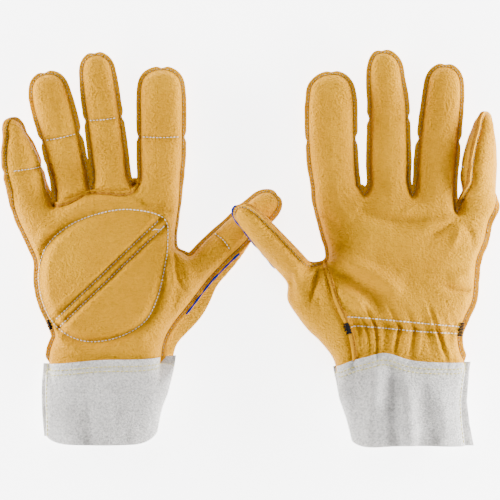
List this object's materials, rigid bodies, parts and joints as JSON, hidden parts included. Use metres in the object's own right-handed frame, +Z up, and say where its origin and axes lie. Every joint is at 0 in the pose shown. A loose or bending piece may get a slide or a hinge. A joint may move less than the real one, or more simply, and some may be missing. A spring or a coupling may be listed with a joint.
{
  "type": "pair of leather work gloves",
  "caption": "Pair of cut-and-sewn golden leather gloves worn over insulating rubber gloves, with outside seams, padded palms, gathered wrists and suede cuffs.",
  "frame": {"origin": "centre of the pair's footprint, on the surface the gloves lie on", "axes": "+Z up from the surface, +Y along the middle fingers away from the cuffs, +X from the palm-up glove a to the palm-down glove b"},
  "size_m": [0.3318, 0.2642, 0.0424],
  "materials": {
    "grain_leather": "soft smooth grain, golden yellow",
    "suede": "rough suede, pale grey",
    "foam": "soft foam, hidden",
    "black_thread": "dense thread bar",
    "elastic": "woven elastic, hidden",
    "blue_binding": "woven binding"
  },
  "bodies": {
    "hand_a": {"glove_a_palm_panel": "grain_leather", "glove_a_back_panel": "grain_leather", "glove_a_thumb_gusset": "grain_leather", "glove_a_palm_pad_upper": "foam", "glove_a_palm_pad_lower": "foam", "glove_a_wrist_elastic": "elastic", "glove_a_bar_tacks": "black_thread", "glove_a_root_welt": "grain_leather"},
    "index_base_a": {"glove_a_index_base_front": "grain_leather", "glove_a_index_base_back": "grain_leather"},
    "index_tip_a": {"glove_a_index_tip_front": "grain_leather", "glove_a_index_tip_back": "grain_leather"},
    "middle_base_a": {"glove_a_middle_base_front": "grain_leather", "glove_a_middle_base_back": "grain_leather"},
    "middle_tip_a": {"glove_a_middle_tip_front": "grain_leather", "glove_a_middle_tip_back": "grain_leather"},
    "ring_base_a": {"glove_a_ring_base_front": "grain_leather", "glove_a_ring_base_back": "grain_leather"},
    "ring_tip_a": {"glove_a_ring_tip_front": "grain_leather", "glove_a_ring_tip_back": "grain_leather"},
    "little_base_a": {"glove_a_little_base_front": "grain_leather", "glove_a_little_base_back": "grain_leather"},
    "little_tip_a": {"glove_a_little_tip_front": "grain_leather", "glove_a_little_tip_back": "grain_leather"},
    "thumb_a": {"glove_a_thumb_front": "grain_leather", "glove_a_thumb_back": "grain_leather", "glove_a_thumb_piping": "blue_binding"},
    "cuff_a": {"glove_a_cuff": "suede", "glove_a_skirt_front": "grain_leather", "glove_a_skirt_back": "grain_leather"},
    "hand_b": {"glove_b_palm_panel": "grain_leather", "glove_b_back_panel": "grain_leather", "glove_b_thumb_gusset": "grain_leather", "glove_b_palm_pad_upper": "foam", "glove_b_palm_pad_lower": "foam", "glove_b_wrist_elastic": "elastic", "glove_b_bar_tacks": "black_thread", "glove_b_root_welt": "grain_leather"},
    "index_base_b": {"glove_b_index_base_front": "grain_leather", "glove_b_index_base_back": "grain_leather"},
    "index_tip_b": {"glove_b_index_tip_front": "grain_leather", "glove_b_index_tip_back": "grain_leather"},
    "middle_base_b": {"glove_b_middle_base_front": "grain_leather", "glove_b_middle_base_back": "grain_leather"},
    "middle_tip_b": {"glove_b_middle_tip_front": "grain_leather", "glove_b_middle_tip_back": "grain_leather"},
    "ring_base_b": {"glove_b_ring_base_front": "grain_leather", "glove_b_ring_base_back": "grain_leather"},
    "ring_tip_b": {"glove_b_ring_tip_front": "grain_leather", "glove_b_ring_tip_back": "grain_leather"},
    "little_base_b": {"glove_b_little_base_front": "grain_leather", "glove_b_little_base_back": "grain_leather"},
    "little_tip_b": {"glove_b_little_tip_front": "grain_leather", "glove_b_little_tip_back": "grain_leather"},
    "thumb_b": {"glove_b_thumb_front": "grain_leather", "glove_b_thumb_back": "grain_leather", "glove_b_thumb_piping": "blue_binding"},
    "cuff_b": {"glove_b_cuff": "suede", "glove_b_skirt_front": "grain_leather", "glove_b_skirt_back": "grain_leather"}
  },
  "joints": [
    {"name": "index_knuckle_a", "type": "hinge", "parent": "hand_a", "child": "index_base_a", "pos_m": [-0.0587, 0.046, 0.0181], "axis": [1, 0, 0], "range_deg": [0, 50]},
    {"name": "index_middle_a", "type": "hinge", "parent": "index_base_a", "child": "index_tip_a", "pos_m": [-0.0587, 0.0734, 0.0181], "axis": [1, 0, 0], "range_deg": [0, 55]},
    {"name": "middle_knuckle_a", "type": "hinge", "parent": "hand_a", "child": "middle_base_a", "pos_m": [-0.0922, 0.0465, 0.0177], "axis": [0.9942, 0.108, 0], "range_deg": [0, 50]},
    {"name": "middle_middle_a", "type": "hinge", "parent": "middle_base_a", "child": "middle_tip_a", "pos_m": [-0.09641, 0.08527, 0.0177], "axis": [0.9942, 0.108, 0], "range_deg": [0, 55]},
    {"name": "ring_knuckle_a", "type": "hinge", "parent": "hand_a", "child": "ring_base_a", "pos_m": [-0.1184, 0.0443, 0.0177], "axis": [0.977, 0.213, 0], "range_deg": [0, 50]},
    {"name": "ring_middle_a", "type": "hinge", "parent": "ring_base_a", "child": "ring_tip_a", "pos_m": [-0.12473, 0.07332, 0.0177], "axis": [0.977, 0.213, 0], "range_deg": [0, 55]},
    {"name": "little_knuckle_a", "type": "hinge", "parent": "hand_a", "child": "little_base_a", "pos_m": [-0.1457, 0.0358, 0.01902], "axis": [0.9789, 0.2045, 0], "range_deg": [0, 50]},
    {"name": "little_middle_a", "type": "hinge", "parent": "little_base_a", "child": "little_tip_a", "pos_m": [-0.14905, 0.05185, 0.01902], "axis": [0.9789, 0.2045, 0], "range_deg": [0, 55]},
    {"name": "thumb_swing_a", "type": "hinge", "parent": "hand_a", "child": "thumb_a", "pos_m": [-0.04242, -0.00187, 0.009], "axis": [0, 0, 1], "range_deg": [0, 25]},
    {"name": "wrist_a", "type": "hinge", "parent": "hand_a", "child": "cuff_a", "pos_m": [-0.0925, -0.0577, 0.0283], "axis": [-1, 0, 0], "range_deg": [0, 45]},
    {"name": "index_knuckle_b", "type": "hinge", "parent": "hand_b", "child": "index_base_b", "pos_m": [0.0572, 0.04, -0.0001], "axis": [-0.9982, -0.0593, 0], "range_deg": [0, 50]},
    {"name": "index_middle_b", "type": "hinge", "parent": "index_base_b", "child": "index_tip_b", "pos_m": [0.05533, 0.07144, -0.0001], "axis": [-0.9982, -0.0593, 0], "range_deg": [0, 55]},
    {"name": "middle_knuckle_b", "type": "hinge", "parent": "hand_b", "child": "middle_base_b", "pos_m": [0.0921, 0.042, 0.0001], "axis": [-0.9995, -0.0332, 0], "range_deg": [0, 50]},
    {"name": "middle_middle_b", "type": "hinge", "parent": "middle_base_b", "child": "middle_tip_b", "pos_m": [0.09064, 0.08598, 0.0001], "axis": [-0.9995, -0.0332, 0], "range_deg": [0, 55]},
    {"name": "ring_knuckle_b", "type": "hinge", "parent": "hand_b", "child": "ring_base_b", "pos_m": [0.1223, 0.0405, 0.0001], "axis": [-0.9982, 0.0593, 0], "range_deg": [0, 50]},
    {"name": "ring_middle_b", "type": "hinge", "parent": "ring_base_b", "child": "ring_tip_b", "pos_m": [0.12414, 0.07145, 0.0001], "axis": [-0.9982, 0.0593, 0], "range_deg": [0, 55]},
    {"name": "little_knuckle_b", "type": "hinge", "parent": "hand_b", "child": "little_base_b", "pos_m": [0.151, 0.036, 0.002], "axis": [-0.9962, 0.0872, 0], "range_deg": [0, 50]},
    {"name": "little_middle_b", "type": "hinge", "parent": "little_base_b", "child": "little_tip_b", "pos_m": [0.15244, 0.05244, 0.002], "axis": [-0.9962, 0.0872, 0], "range_deg": [0, 55]},
    {"name": "thumb_swing_b", "type": "hinge", "parent": "hand_b", "child": "thumb_b", "pos_m": [0.04351, -0.00827, 0.0148], "axis": [0, 0, -1], "range_deg": [0, 14]},
    {"name": "wrist_b", "type": "hinge", "parent": "hand_b", "child": "cuff_b", "pos_m": [0.0995, -0.0577, -0.0003], "axis": [1, 0, 0], "range_deg": [0, 45]},
    {"name": "glove_b_apart", "type": "slide", "parent": "hand_a", "child": "hand_b", "axis": [1, 0, 0], "range_m": [0, 0.12]}
  ]
}
